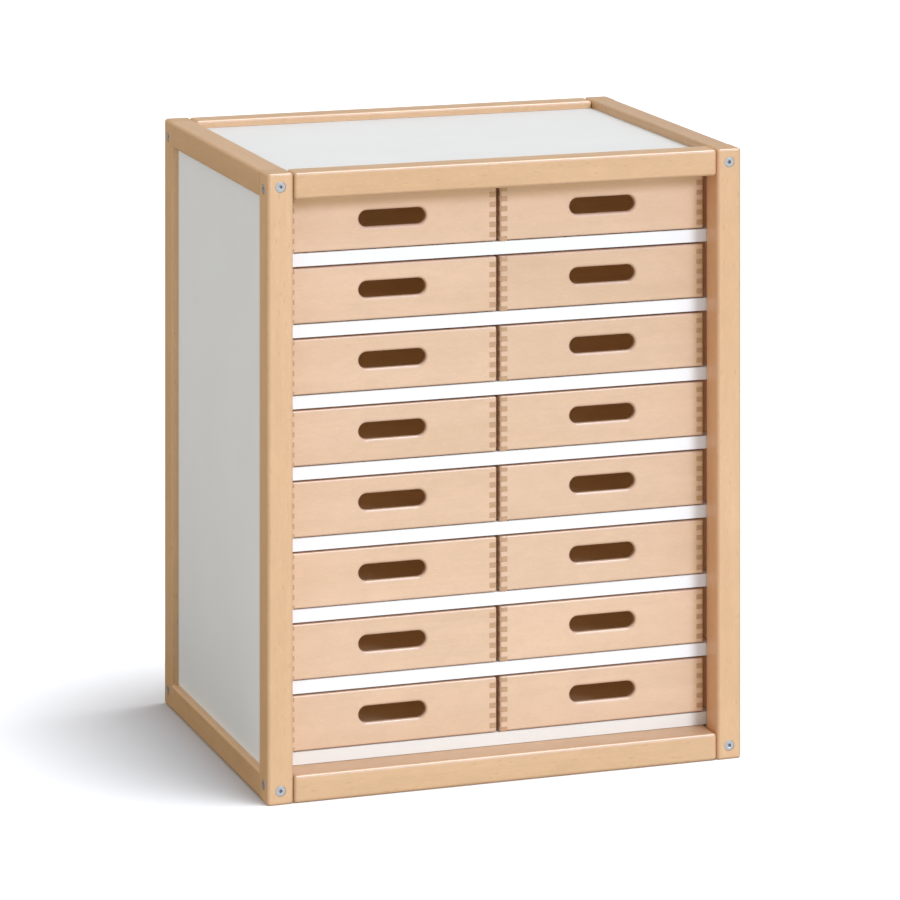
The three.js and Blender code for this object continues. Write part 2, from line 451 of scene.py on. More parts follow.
FIGURE = Cloud(along=1.7, across=14.0, detail=3.0, roughness=0.55, swirl=0.7)
MOTTLE = Cloud(along=22.0, across=48.0, detail=3.0, roughness=0.6, swirl=0.5)
STREAK = Cloud(along=5.0, across=230.0, detail=4.0, roughness=0.65, swirl=0.2)
PORES = Speckle(along=130.0, across=620.0, full=0.10, gone=0.34)
RAYS = Speckle(along=52.0, across=210.0, full=0.08, gone=0.30)
FLECKS = Speckle(along=34.0, across=140.0, full=0.06, gone=0.19)
FACING_CLOUD = Cloud(along=9.0, across=9.0, detail=3.0, roughness=0.5)
FACING_PEARL = Cloud(along=700.0, across=700.0, detail=2.0, roughness=0.5)
ZINC_CLOUD = Cloud(along=420.0, across=420.0, detail=3.0, roughness=0.6, swirl=0.4)
FLOOR_CLOUD = Cloud(along=1.5, across=1.5, detail=2.0, roughness=0.5)

BOARD_SHIFT = (41.3, 17.9, 29.7)
WHOLE = (0.0, 1.0)
CLOUD_SPAN = (0.3, 0.7)
STREAK_SPAN = (0.25, 0.75)
END_SPAN = (0.70, 0.98)

# Sockets of a colour mix, whose names are also those of its other kinds of value
MIX_SHARE = 0
MIX_FIRST = 6
MIX_SECOND = 7
MIX_RESULT = 2


class NodeGraph:
    """Short ways to add and join the nodes of a tree."""

    def __init__(self, tree: bpy.types.NodeTree) -> None:
        """Takes the tree that the nodes go in."""
        self.tree = tree

    def node(self, kind: str, inputs: dict[str | int, object], **settings: object) -> bpy.types.Node:
        """Adds a node.

        Args:
            kind: Its type.
            inputs: Values or source sockets by the name or number of the input.
            settings: Its options.

        Returns:
            The node.
        """
        made = self.tree.nodes.new(kind)
        for key, value in settings.items():
            setattr(made, key, value)
        for key, value in inputs.items():
            self.feed(made.inputs[key], value)
        return made

    def feed(self, socket: Socket, value: object) -> None:
        """Joins a source to an input, or sets the input's own value.

        Args:
            socket: The input.
            value: A source socket or a plain value.
        """
        if isinstance(value, Socket):
            self.tree.links.new(value, socket)
        else:
            socket.default_value = value

    def number(self, operation: str, *values: object) -> Socket:
        """The result of a calculation with numbers."""
        return self.node("ShaderNodeMath", dict(enumerate(values)), operation=operation).outputs["Value"]

    def vector(self, operation: str, *values: object) -> Socket:
        """The result of a calculation with vectors, direction by direction."""
        inputs = dict(enumerate(values))
        return self.node("ShaderNodeVectorMath", inputs, operation=operation).outputs["Vector"]

    def ranged(self, value: Socket, start: Span, end: Sequence[object]) -> Socket:
        """A value moved from one range to another and held inside it."""
        limits = {"From Min": start[0], "From Max": start[1], "To Min": end[0], "To Max": end[1]}
        return self.node("ShaderNodeMapRange", {"Value": value, **limits}).outputs["Result"]

    def cloud(self, place: Socket, pattern: Cloud) -> Socket:
        """Adds a cloudy pattern whose grain runs along X.

        Args:
            place: Coordinates in metres.
            pattern: The pattern's scale and character.

        Returns:
            The pattern, from 0 to 1.
        """
        scale = (pattern.along, pattern.across, pattern.across)
        settings = {
            "Vector": self.vector("MULTIPLY", place, scale),
            "Scale": 1.0,
            "Detail": pattern.detail,
            "Roughness": pattern.roughness,
            "Distortion": pattern.swirl,
        }
        return self.node("ShaderNodeTexNoise", settings).outputs["Fac"]

    def specks(self, place: Socket, pattern: Speckle) -> Socket:
        """Adds scattered specks whose grain runs along X.

        Args:
            place: Coordinates in metres.
            pattern: The specks' scale and reach.

        Returns:
            The specks, 1 in their middle and 0 between them.
        """
        scale = (pattern.along, pattern.across, pattern.across)
        settings = {"Vector": self.vector("MULTIPLY", place, scale), "Scale": 1.0, "Randomness": 1.0}
        distance = self.node("ShaderNodeTexVoronoi", settings, feature="F1").outputs["Distance"]
        return self.ranged(distance, (pattern.full, pattern.gone), (1.0, 0.0))

    def shaded(self, colour: Socket, amount: Socket) -> Socket:
        """A colour multiplied by an amount."""
        scaled = self.node("ShaderNodeVectorMath", {0: colour, "Scale": amount}, operation="SCALE")
        return scaled.outputs["Vector"]

    def mixed(self, share: Socket, first: object, second: object) -> Socket:
        """A colour between two others."""
        inputs = {MIX_SHARE: share, MIX_FIRST: first, MIX_SECOND: second}
        return self.node("ShaderNodeMix", inputs, data_type="RGBA").outputs[MIX_RESULT]

    def spotted(self, spots: Socket, share: float, ground: Socket, colour: Colour) -> Socket:
        """A ground with spots that take on a share of another colour."""
        return self.mixed(self.number("MULTIPLY", spots, share), ground, colour)

    def clouded(self, cloud: Socket, first: Colour, second: Colour) -> Socket:
        """A colour that drifts between two others with a cloudy pattern."""
        return self.mixed(self.ranged(cloud, CLOUD_SPAN, WHOLE), first, second)


class Surface(NodeGraph):
    """A material that starts from a bare surface shader."""

    def __init__(self, name: str) -> None:
        """Makes the material.

        Args:
            name: Name of the material.
        """
        self.material = bpy.data.materials.new(name)
        self.material.use_nodes = True
        super().__init__(self.material.node_tree)
        self.tree.nodes.clear()
        self.shader = self.tree.nodes.new("ShaderNodeBsdfPrincipled")
        output = self.tree.nodes.new("ShaderNodeOutputMaterial")
        self.tree.links.new(self.shader.outputs["BSDF"], output.inputs["Surface"])

    def give(self, name: str, value: object) -> None:
        """Gives an input of the shader a source or a value."""
        self.feed(self.shader.inputs[name], value)

    def place(self) -> Socket:
        """The place on the piece, in the unit's frame."""
        return self.node("ShaderNodeTexCoord", {}).outputs["Object"]

    def relief(self, height: Socket, strength: float, depth: float) -> None:
        """Gives the surface a fine relief."""
        bump = self.node("ShaderNodeBump", {"Strength": strength, "Distance": depth, "Height": height})
        self.give("Normal", bump.outputs["Normal"])


@dataclass(frozen=True)
class BeechFinish:
    """Lacquered beech: calm mottled tone, fine streaks, pores, ray flecks and darker end grain."""

    name: str
    pale: Colour
    deep: Colour
    pore: Colour
    ray: Colour
    end_grain: Colour
    pore_share: float = 0.16
    ray_share: float = 0.22
    fleck_share: float = 0.34
    end_share: float = 0.75
    board_tone: Span = (0.96, 1.03)
    mottle_tone: Span = (0.965, 1.03)
    streak_tone: Span = (0.97, 1.025)
    roughness: Span = (0.28, 0.38)
    gloss: float = 0.36
    relief: float = 0.12
    relief_depth: float = 0.3 * MM
    pore_depth: float = 0.5

    def long_grain(self, surface: Surface, place: Socket, streak: Socket, pore: Socket) -> Socket:
        """Mixes the colour of the faces along the grain.

        Args:
            surface: The material in work.
            place: Coordinates of the patterns.
            streak: The fine streaks.
            pore: The pores.

        Returns:
            The colour.
        """
        tone = surface.node("ShaderNodeValToRGB", {"Fac": surface.cloud(place, FIGURE)})
        for stop, position, colour in zip(tone.color_ramp.elements, CLOUD_SPAN, (self.deep, self.pale)):
            stop.position = position
            stop.color = colour
        streaks = surface.ranged(streak, STREAK_SPAN, self.streak_tone)
        clouds = surface.ranged(surface.cloud(place, MOTTLE), CLOUD_SPAN, self.mottle_tone)
        colour = surface.shaded(surface.shaded(tone.outputs["Color"], streaks), clouds)
        colour = surface.spotted(pore, self.pore_share, colour, self.pore)
        colour = surface.spotted(surface.specks(place, RAYS), self.ray_share, colour, self.ray)
        return surface.spotted(surface.specks(place, FLECKS), self.fleck_share, colour, self.pore)

    def material(self, grain: Axis) -> bpy.types.Material:
        """Makes the finish for boards whose grain runs along one axis.

        Args:
            grain: Axis of the grain.

        Returns:
            The material.
        """
        surface = Surface(f"{self.name}_{grain.name.lower()}")
        coordinates = surface.node("ShaderNodeTexCoord", {}).outputs
        board = surface.node("ShaderNodeObjectInfo", {}).outputs["Random"]
        shift = surface.vector("MULTIPLY", board, BOARD_SHIFT)
        moved = surface.vector("ADD", coordinates["Object"], shift)
        turned = {"Vector": moved, "Rotation": grain.turn_to_x}
        place = surface.node("ShaderNodeMapping", turned, vector_type="POINT").outputs["Vector"]
        streak = surface.cloud(place, STREAK)
        pore = surface.specks(place, PORES)
        colour = self.long_grain(surface, place, streak, pore)
        colour = surface.shaded(colour, surface.ranged(board, WHOLE, self.board_tone))
        against = {0: coordinates["Normal"], 1: grain.direction}
        facing = surface.node("ShaderNodeVectorMath", against, operation="DOT_PRODUCT").outputs["Value"]
        ends = surface.ranged(surface.number("ABSOLUTE", facing), END_SPAN, (0.0, self.end_share))
        surface.give("Base Color", surface.mixed(ends, colour, self.end_grain))
        surface.give("Roughness", surface.ranged(streak, STREAK_SPAN, self.roughness))
        surface.give("Specular IOR Level", self.gloss)
        sunk = surface.number("MULTIPLY", pore, self.pore_depth)
        surface.relief(surface.number("SUBTRACT", streak, sunk), self.relief, self.relief_depth)
        return surface.material


@dataclass(frozen=True)
class BoardFinish:
    """White faced board with the faint pearl texture of its facing."""

    name: str
    white: Colour
    cloud: Colour
    roughness: Span = (0.36, 0.46)
    gloss: float = 0.08
    relief: float = 0.06
    relief_depth: float = 0.1 * MM

    def material(self) -> bpy.types.Material:
        """Makes the finish.

        Returns:
            The material.
        """
        surface = Surface(self.name)
        place = surface.place()
        pearl = surface.cloud(place, FACING_PEARL)
        cloud = surface.cloud(place, FACING_CLOUD)
        surface.give("Base Color", surface.clouded(cloud, self.white, self.cloud))
        surface.give("Roughness", surface.ranged(pearl, CLOUD_SPAN, self.roughness))
        surface.give("Specular IOR Level", self.gloss)
        surface.relief(pearl, self.relief, self.relief_depth)
        return surface.material


@dataclass(frozen=True)
class ZincFinish:
    """Zinc-plated steel with a slightly clouded sheen."""

    name: str
    bright: Colour
    dull: Colour
    roughness: Span = (0.26, 0.44)
    metal: float = 0.55

    def material(self) -> bpy.types.Material:
        """Makes the finish.

        Returns:
            The material.
        """
        surface = Surface(self.name)
        cloud = surface.cloud(surface.place(), ZINC_CLOUD)
        surface.give("Base Color", surface.clouded(cloud, self.bright, self.dull))
        surface.give("Roughness", surface.ranged(cloud, CLOUD_SPAN, self.roughness))
        surface.give("Metallic", self.metal)
        return surface.material


@dataclass(frozen=True)
class FloorFinish:
    """Matt studio floor with faint clouds."""

    name: str
    pale: Colour
    cloud: Colour
    roughness: float = 0.85
    gloss: float = 0.1

    def material(self) -> bpy.types.Material:
        """Makes the finish.

        Returns:
            The material.
        """
        surface = Surface(self.name)
        cloud = surface.cloud(surface.place(), FLOOR_CLOUD)
        surface.give("Base Color", surface.clouded(cloud, self.pale, self.cloud))
        surface.give("Roughness", self.roughness)
        surface.give("Specular IOR Level", self.gloss)
        return surface.material


FRAME_BEECH = BeechFinish(
    name="frame_beech",
    pale=(0.692, 0.43, 0.23, 1.0),
    deep=(0.637, 0.385, 0.197, 1.0),
    pore=(0.443, 0.23, 0.09, 1.0),
    ray=(0.794, 0.532, 0.304, 1.0),
    end_grain=(0.609, 0.363, 0.173, 1.0),
)
TRAY_BEECH = BeechFinish(
    name="tray_beech",
    pale=(0.752, 0.5, 0.317, 1.0),
    deep=(0.696, 0.455, 0.278, 1.0),
    pore=(0.52, 0.306, 0.154, 1.0),
    ray=(0.835, 0.594, 0.394, 1.0),
    end_grain=(0.445, 0.24, 0.112, 1.0),
    fleck_share=0.12,
    streak_tone=(0.985, 1.012),
    relief=0.06,
)
TRAY_BOTTOM = BeechFinish(
    name="tray_bottom",
    pale=(0.63, 0.42, 0.235, 1.0),
    deep=(0.57, 0.365, 0.195, 1.0),
    pore=(0.42, 0.24, 0.12, 1.0),
    ray=(0.71, 0.50, 0.30, 1.0),
    end_grain=(0.44, 0.27, 0.14, 1.0),
)
WHITE_BOARD = BoardFinish(
    name="white_facing", white=(0.83, 0.84, 0.85, 1.0), cloud=(0.81, 0.82, 0.83, 1.0)
)
WHITE_EDGE = BoardFinish(
    name="white_edging", white=(0.945, 0.945, 0.94, 1.0), cloud=(0.93, 0.93, 0.925, 1.0)
)
# Edging of the bottom shelf: the shelves' white made dimmer and warmer. This is painted shade from the
# bottom rail in front of it and painted warm bounce light from that rail's wood.
BASE_EDGE_PAINTED_SHADE = BoardFinish(
    name="base_edging", white=(0.87, 0.855, 0.815, 1.0), cloud=(0.855, 0.84, 0.8, 1.0)
)
ZINC = ZincFinish(name="zinc_plating", bright=(0.59, 0.60, 0.615, 1.0), dull=(0.46, 0.468, 0.48, 1.0))
FLOOR = FloorFinish(name="studio_floor", pale=(0.6, 0.61, 0.637, 1.0), cloud=(0.592, 0.602, 0.63, 1.0))
SHADE = FloorFinish(name="studio_shade", pale=(0.05, 0.05, 0.05, 1.0), cloud=(0.04, 0.04, 0.04, 1.0))


@dataclass(frozen=True)
class BoltPlace:
    """Where one connecting bolt enters a post."""

    name: str
    post: str
    face: Vector
    outward: Vector


@dataclass
class ConnectingBolts:
    """Flat-headed bolts with a hex socket, two at each end of each post."""

    head_diameter: float = 15.2 * MM
    head_height: float = 2.3 * MM
    rim: float = 0.8 * MM
    shank_diameter: float = 8.0 * MM
    shank_length: float = 9.0 * MM
    socket: float = 5.0 * MM
    socket_depth: float = 5.0 * MM
    socket_chamfer: float = 0.25 * MM
    stagger: float = 5.0 * MM
    sides: int = 48
    rim_segments: int = 4
    socket_corners: int = 6
    twist: float = 0.37
    seat_diameter: float = 15.6 * MM
    seat_depth: float = 2.4 * MM
    room: float = 0.2 * MM

    def in_post(self, end: str, side: str) -> list[BoltPlace]:
        """Finds the bolts of one post from the rails that it holds.

        Args:
            end: End of the unit where the post stands.
            side: Side of the unit where it stands.

        Returns:
            Two places at the bottom and two at the top.
        """
        post = f"{end}_{side}_post"
        low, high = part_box(post)
        middle = (low + high) / 2
        outer_x, turn_x = (low.x, -1.0) if side == "left" else (high.x, 1.0)
        outer_y, turn_y = (low.y, -1.0) if end == "front" else (high.y, 1.0)
        found = []
        for level, inward in zip(LEVELS, (1.0, -1.0)):
            rail_low, rail_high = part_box(f"{side}_{level}_rail")
            height = (rail_low.z + rail_high.z) / 2
            end_face = Vector((middle.x, outer_y, height))
            side_face = Vector((outer_x, middle.y, height + inward * self.stagger))
            name = f"{post}_{level}"
            found.append(BoltPlace(f"{name}_{end}_bolt", post, end_face, Vector((0.0, turn_y, 0.0))))
            found.append(BoltPlace(f"{name}_side_bolt", post, side_face, Vector((turn_x, 0.0, 0.0))))
        return found

    def places(self) -> list[BoltPlace]:
        """All bolts, post by post."""
        return [place for end in ENDS for side in SIDES for place in self.in_post(end, side)]

    def seat(self, place: BoltPlace) -> Mesh:
        """Makes the cutter for the bolt's hole and the round seat of its head.

        Args:
            place: The bolt's place.

        Returns:
            The cutter's mesh.
        """
        bore = ring(self.shank_diameter / 2 + self.room, self.sides)
        seat = ring(self.seat_diameter / 2, self.sides)
        floor = -self.seat_depth
        end = floor - self.shank_length - self.room
        cutter = loft(Axis.Z, [(end, bore), (floor, bore), (floor, seat), (self.seat_depth, seat)])
        cutter.transform(self.stand(place))
        return cutter

    def stand(self, place: BoltPlace) -> Matrix:
        """The turn and shift that stand a bolt made along Z on its face."""
        turn = Vector((0.0, 0.0, 1.0)).rotation_difference(place.outward)
        return Matrix.Translation(place.face) @ turn.to_matrix().to_4x4()

    def bolt(self) -> Mesh:
        """Makes one bolt along Z whose head is level with the post's face.

        Returns:
            The bolt's mesh.
        """
        radius = self.head_diameter / 2
        top = self.head_height - self.seat_depth
        base = self.room - self.seat_depth
        shank = ring(self.shank_diameter / 2, self.sides)
        rings = [(base - self.shank_length, shank), (base, shank), (base, ring(radius, self.sides))]
        for inset, drop in reversed(fillet(self.rim, self.rim_segments)):
            rings.append((top - drop, ring(radius - inset, self.sides)))
        mouth = ring(self.socket / 2 + self.socket_chamfer, self.sides, self.socket_corners)
        wall = ring(self.socket / 2, self.sides, self.socket_corners)
        rings += [(top, mouth), (top - self.socket_chamfer, wall), (top - self.socket_depth, wall)]
        return loft(Axis.Z, rings)

    def build(self) -> None:
        """Makes the bolts and puts them on the cabinet."""
        bolt = dress(self.bolt(), ZINC.material())
        for count, place in enumerate(self.places()):
            mesh = bolt.copy()
            mesh.transform(self.stand(place) @ Matrix.Rotation(self.twist * count, 4, "Z"))
            fit_piece(place.name, mesh, CABINET)


@dataclass
class BeechFrame:
    """Twelve beech members: four posts, and rails between them at the bottom and the top."""

    bolts: ConnectingBolts
    edge: float = 5.0 * MM
    end: float = 4.5 * MM
    end_gap: float = 0.6 * MM
    scribe: float = 3.3 * MM
    under_shelf: float = 8.0 * MM
    room: float = 0.3 * MM
    segments: int = 6

    def members(self) -> dict[str, tuple[Axis, float]]:
        """Names the members.

        Returns:
            Grain axis and end radius of each member.
        """
        found = {f"{end}_{side}_post": (Axis.Z, self.end) for end in ENDS for side in SIDES}
        found.update({f"{end}_{level}_rail": (Axis.X, self.end) for end in ENDS for level in LEVELS})
        found.update({f"{side}_{level}_rail": (Axis.Y, 0.0) for side in SIDES for level in LEVELS})
        return found

    def member(self, name: str, grain: Axis, end: float) -> Mesh:
        """Shapes one member with its panel grooves and bolt seats.

        Args:
            name: Name of its solid.
            grain: Axis that it runs along.
            end: Radius round its ends.

        Returns:
            The member's mesh.
        """
        reach = {Axis.X: -self.end_gap, Axis.Y: self.scribe, Axis.Z: 0.0}[grain]
        change = Vector(grain.direction) * reach
        low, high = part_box(name)
        if name == "front_bottom_rail":
            high.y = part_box("shelf_1")[0].y + self.under_shelf
        box = (low - change, high + change)
        mesh = rounded_block(grain, box, self.edge, end, end, self.segments)
        for panel in PANELS:
            groove = grown(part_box(panel), self.room)
            if overlaps(box, groove):
                mesh = carve(mesh, plain_block(groove), Cut.AWAY)
        for place in self.bolts.places():
            if place.post == name:
                mesh = carve(mesh, self.bolts.seat(place), Cut.AWAY)
        return mesh

    def build(self) -> list[Thing]:
        """Makes the members and puts them on the cabinet.

        Returns:
            The members.
        """
        finishes = {axis: FRAME_BEECH.material(axis) for axis in Axis}
        pieces = []
        for name, (grain, end) in self.members().items():
            mesh = dress(self.member(name, grain, end), finishes[grain])
            pieces.append(fit_piece(f"{name}_beech", mesh, CABINET, (name,)))
        return pieces


@dataclass
class WhiteBoards:
    """White panels in the frame's grooves, and shelves notched round the rear posts."""

    edge: float = 0.8 * MM
    setback: float = 2.6 * MM
    room: float = 0.3 * MM
    segments: int = 2

    def shelf(self, name: str) -> Mesh:
        """Shapes one shelf.

        Args:
            name: Name of its solid.

        Returns:
            The shelf's mesh.
        """
        low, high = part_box(name)
        low.y += self.setback
        post_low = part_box("rear_right_post")[0]
        notch_x = post_low.x - self.room
        notch_y = post_low.y - self.room
        outline = [
            (low.x, low.y),
            (high.x, low.y),
            (high.x, notch_y),
            (notch_x, notch_y),
            (notch_x, high.y),
            (-notch_x, high.y),
            (-notch_x, notch_y),
            (low.x, notch_y),
        ]
        return eased(loft(Axis.Z, [(low.z, outline), (high.z, outline)]), self.edge, self.segments)

    def build(self) -> None:
        """Makes the shelves, and gives the panels their finish."""
        # The bottom shelf takes the dimmer, warmer edging: painted shade and painted warm bounce light
        # from the bottom rail.
        base = BASE_EDGE_PAINTED_SHADE.material()
        edging = WHITE_EDGE.material()
        for row in ROWS:
            name = f"shelf_{row}"
            mesh = dress(self.shelf(name), base if row == ROWS[0] else edging)
            fit_piece(f"{name}_board", mesh, CABINET, (name,))
        finish = WHITE_BOARD.material()
        for name in PANELS:
            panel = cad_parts[name]
            for slot in panel.material_slots:
                slot.material = finish
            LOG.info("%s keeps its solid", name)


@dataclass
class BeechTrays:
    """Sixteen trays of five beech boards, finger-jointed at the corners, with an oval grip slot."""

    fingers: int = 11
    glue: float = 0.2 * MM
    over: float = 1.0 * MM
    top_edge: float = 2.2 * MM
    bottom_edge: float = 2.5 * MM
    front_lift: float = 1.5 * MM
    corner: float = 3.4 * MM
    inner_edge: float = 2.0 * MM
    inner_corner: float = 0.2 * MM
    bottom_height: float = 5.0 * MM
    bottom_lift: float = 6.0 * MM
    bottom_gap: float = 0.1 * MM
    bottom_easing: float = 0.5 * MM
    slot_width: float = 102.0 * MM
    slot_height: float = 24.0 * MM
    slot_rise: float = 4.5 * MM
    slot_rim: float = 4.0 * MM
    segments: int = 6
    slot_segments: int = 14
    easing_segments: int = 2
    width: float = field(init=False)
    height: float = field(init=False)
    wall: float = field(init=False)
    depth: float = field(init=False)

    def __post_init__(self) -> None:
        """Takes the outer sizes of a tray from its solids."""
        front_low, front_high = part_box("tray_1_left_front")
        _, box_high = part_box("tray_1_left_box")
        self.width = front_high.x - front_low.x
        self.height = front_high.z - front_low.z
        self.wall = front_high.y - front_low.y
        self.depth = box_high.y - front_low.y

    def finger_edge(self, root: float, tip: float, first: Division) -> Outline:
        """Draws the stepped edge of a board from its bottom to its top.

        Args:
            root: Place of the gaps' floors.
            tip: Place of the finger ends.
            first: What the edge has at its bottom.

        Returns:
            Pairs of place across the edge and height.
        """
        step = self.height / self.fingers
        points = []
        level = -self.over
        for k in range(self.fingers):
            is_finger = k % 2 == first.value
            rise = (k + 1) * step + (-self.glue / 2 if is_finger else self.glue / 2)
            above = self.height + self.over if k == self.fingers - 1 else rise
            place = tip if is_finger else root
            points += [(place, level), (place, above)]
            level = above
        return points

    def envelope(self, lift: float) -> Mesh:
        """The tray's outer form with all its round edges, from a lift above its sole."""
        box = (Vector((0.0, 0.0, lift)), Vector((self.width, self.depth, self.height)))
        return rounded_block(Axis.Z, box, self.corner, self.bottom_edge, self.top_edge, self.segments)

    def inner_flare(self) -> Mesh:
        """Makes the shape that rounds the inner top edges.

        Returns:
            The cutter's mesh.
        """
        levels = [(self.height - self.inner_edge, -self.over, self.inner_corner)]
        for reach, drop in reversed(fillet(self.inner_edge, self.segments)):
            levels.append((self.height - drop, reach, self.inner_corner + reach))
        top = self.height + self.over
        levels.append((top, self.inner_edge, self.inner_corner + self.inner_edge))
        low = (self.wall, self.wall)
        high = (self.width - self.wall, self.depth - self.wall)
        return stacked(Axis.Z, low, high, levels, self.segments)

    def slot_cutter(self) -> Mesh:
        """Makes the oval grip slot with its round rims.

        Returns:
            The cutter's mesh.
        """
        rim = fillet(self.slot_rim, self.segments)
        places = [(-self.over, self.slot_rim)]
        places += [(rise, reach) for reach, rise in rim]
        places += [(self.wall - rise, reach) for reach, rise in reversed(rim)]
        places.append((self.wall + self.over, self.slot_rim))
        half_x = self.slot_width / 2
        half_z = self.slot_height / 2
        levels = [(place, reach, (half_z + reach) * NEARLY_HALF_ROUND) for place, reach in places]
        middle_x = self.width / 2
        middle_z = self.height / 2 + self.slot_rise
        low = (middle_z - half_z, middle_x - half_x)
        high = (middle_z + half_z, middle_x + half_x)
        return stacked(Axis.Y, low, high, levels, self.slot_segments)

    def blank(self, across: Axis, faces: Span, length: float, near: Division, far: Division) -> Mesh:
        """Makes the blank of a wall, finger-jointed at both ends.

        Args:
            across: Axis through the wall.
            faces: Places of its two faces along that axis.
            length: Outer length of the tray along the wall.
            near: What the end at the tray's origin has at its bottom.
            far: What the other end has at its bottom.

        Returns:
            The blank's mesh.
        """
        inset = self.wall + self.glue
        start = self.finger_edge(inset, -self.over, near)
        stop = self.finger_edge(length - inset, length + self.over, far)
        outline = start + list(reversed(stop))
        if across is Axis.Y:
            outline = [(height, place) for place, height in outline]
        return loft(across, [(face, outline) for face in faces])

    def bottom_board(self) -> Mesh:
        """Makes the board that closes the tray, between its walls.

        Returns:
            The board's mesh.
        """
        inset = self.wall + self.bottom_gap
        low = Vector((inset, inset, self.bottom_lift))
        top = self.bottom_lift + self.bottom_height
        high = Vector((self.width - inset, self.depth - inset, top))
        return eased(plain_block((low, high)), self.bottom_easing, self.easing_segments)

    def shaped(self, blank: Mesh, lift: float = 0.0) -> Mesh:
        """A blank trimmed to the tray's outer form, with round inner top edges."""
        return carve(carve(blank, self.envelope(lift), Cut.KEEP), self.inner_flare(), Cut.AWAY)

    def boards(self) -> dict[str, Mesh]:
        """Makes the five boards of one tray, with its front left bottom corner at the origin.

        Returns:
            The dressed boards by name.
        """
        finishes = {axis: TRAY_BEECH.material(axis) for axis in (Axis.X, Axis.Y)}
        near = (-self.over, self.wall)
        rear = (self.depth - self.wall, self.depth + self.over)
        far = (self.width - self.wall, self.width + self.over)
        front = self.blank(Axis.Y, near, self.width, Division.GAP, Division.FINGER)
        front = carve(self.shaped(front, self.front_lift), self.slot_cutter(), Cut.AWAY)
        back = self.blank(Axis.Y, rear, self.width, Division.GAP, Division.FINGER)
        left = self.blank(Axis.X, near, self.depth, Division.FINGER, Division.FINGER)
        right = self.blank(Axis.X, far, self.depth, Division.GAP, Division.GAP)
        return {
            "front": dress(front, finishes[Axis.X]),
            "back": dress(self.shaped(back), finishes[Axis.X]),
            "left": dress(self.shaped(left), finishes[Axis.Y]),
            "right": dress(self.shaped(right), finishes[Axis.Y]),
            "bottom": dress(self.bottom_board(), TRAY_BOTTOM.material(Axis.X)),
        }

    def build(self) -> list[Thing]:
        """Makes the boards once and puts a set of them on each tray.

        Returns:
            The boards of all trays.
        """
        boards = self.boards()
        pieces = []
        for row in ROWS:
            for side in SIDES:
                tray = f"tray_{row}_{side}"
                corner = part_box(f"{tray}_front")[0]
                for board, shape in boards.items():
                    mesh = shape.copy()
                    mesh.transform(Matrix.Translation(corner))
                    node = f"{tray}_front" if board == "front" else f"{tray}_box"
                    pieces.append(fit_piece(f"{tray}_{board}_board", mesh, tray, (node,)))
        return pieces


class Reach(Enum):
    """Which objects a light falls on."""

    ONLY = "INCLUDE"
    ALL_BUT = "EXCLUDE"


class Effect(Enum):
    """What a light does to a surface: its tone, the sheen of its lacquer, or both."""

    ALL = "all"
    TONE = "tone"
    SHEEN = "sheen"


@dataclass(frozen=True)
class SoftLight:
    """A broad light far off, seen from the unit under a wide angle; angles are in degrees."""

    name: str
    azimuth: float
    elevation: float
    spread: float
    strength: float
    colour: Triple = (1.0, 1.0, 1.0)
    effect: Effect = Effect.ALL
    shadows: bool = True

    def build(self, reach: Reach, things: Sequence[Thing]) -> None:
        """Puts the light in the scene; azimuth 0 shines on the front and 90 on the right side.

        Args:
            reach: Whether it falls on some objects only or on all others.
            things: The objects that the reach speaks of.
        """
        lamp = bpy.data.lights.new(self.name, "SUN")
        lamp.color = self.colour
        lamp.angle = math.radians(self.spread)
        lamp.energy = self.strength
        lamp.use_shadow = self.shadows
        light = new_object(self.name, lamp)
        light.visible_diffuse = self.effect is not Effect.SHEEN
        light.visible_glossy = self.effect is not Effect.TONE
        turn = math.radians(self.azimuth)
        rise = math.radians(self.elevation)
        level = math.cos(rise)
        towards = Vector((math.sin(turn) * level, -math.cos(turn) * level, math.sin(rise)))
        light.location = towards * LAMP_DISTANCE
        light.rotation_euler = (-towards).to_track_quat("-Z", "Y").to_euler()
        named = bpy.data.collections.new(f"{self.name}_reach")
        for thing in things:
            named.objects.link(thing)
        for member in named.collection_objects:
            member.light_linking.link_state = reach.value
        light.light_linking.receiver_collection = named


FRONT_LIGHT = SoftLight(
    "front_light", azimuth=23.0, elevation=25.0, spread=18.0, strength=1.65, colour=(0.94, 1.0, 1.09)
)
WOOD_LIGHT = replace(FRONT_LIGHT, name="wood_light", colour=(0.82, 0.96, 1.40))
KEY_LIGHT = SoftLight("key_light", azimuth=55.0, elevation=66.0, spread=24.0, strength=0.42)
EDGE_LIGHT = SoftLight(
    "edge_light", azimuth=55.0, elevation=66.0, spread=18.0, strength=4.4, effect=Effect.SHEEN
)
BACK_LIGHT = SoftLight(
    "back_light", azimuth=165.0, elevation=8.0, spread=50.0, strength=1.0, effect=Effect.TONE
)
FILL_LIGHT = SoftLight(
    "fill_light", azimuth=-108.0, elevation=16.0, spread=50.0, strength=0.74, colour=(1.0, 0.965, 0.845)
)
FLOOR_LIGHT = SoftLight("floor_light", azimuth=58.0, elevation=74.0, spread=33.0, strength=5.4)
SHEEN_LIGHT = SoftLight(
    "sheen_light", azimuth=19.0, elevation=-12.5, spread=50.0, strength=1.15,
    colour=(1.05, 0.91, 0.34), effect=Effect.SHEEN, shadows=False
)
SLOT_LIGHT = SoftLight(
    "slot_light", azimuth=-13.0, elevation=30.0, spread=22.0, strength=0.82,
    colour=(1.0, 0.70, 0.42), effect=Effect.TONE, shadows=False
)
GAP_LIGHT = SoftLight(
    "gap_light", azimuth=-85.0, elevation=8.5, spread=22.0, strength=0.26,
    colour=(1.0, 0.28, 0.0), effect=Effect.TONE, shadows=False
)
TOE_LIGHT = SoftLight(
    "toe_light", azimuth=-90.0, elevation=-86.0, spread=30.0, strength=0.75,
    colour=(1.0, 0.84, 0.58), effect=Effect.TONE, shadows=False
)


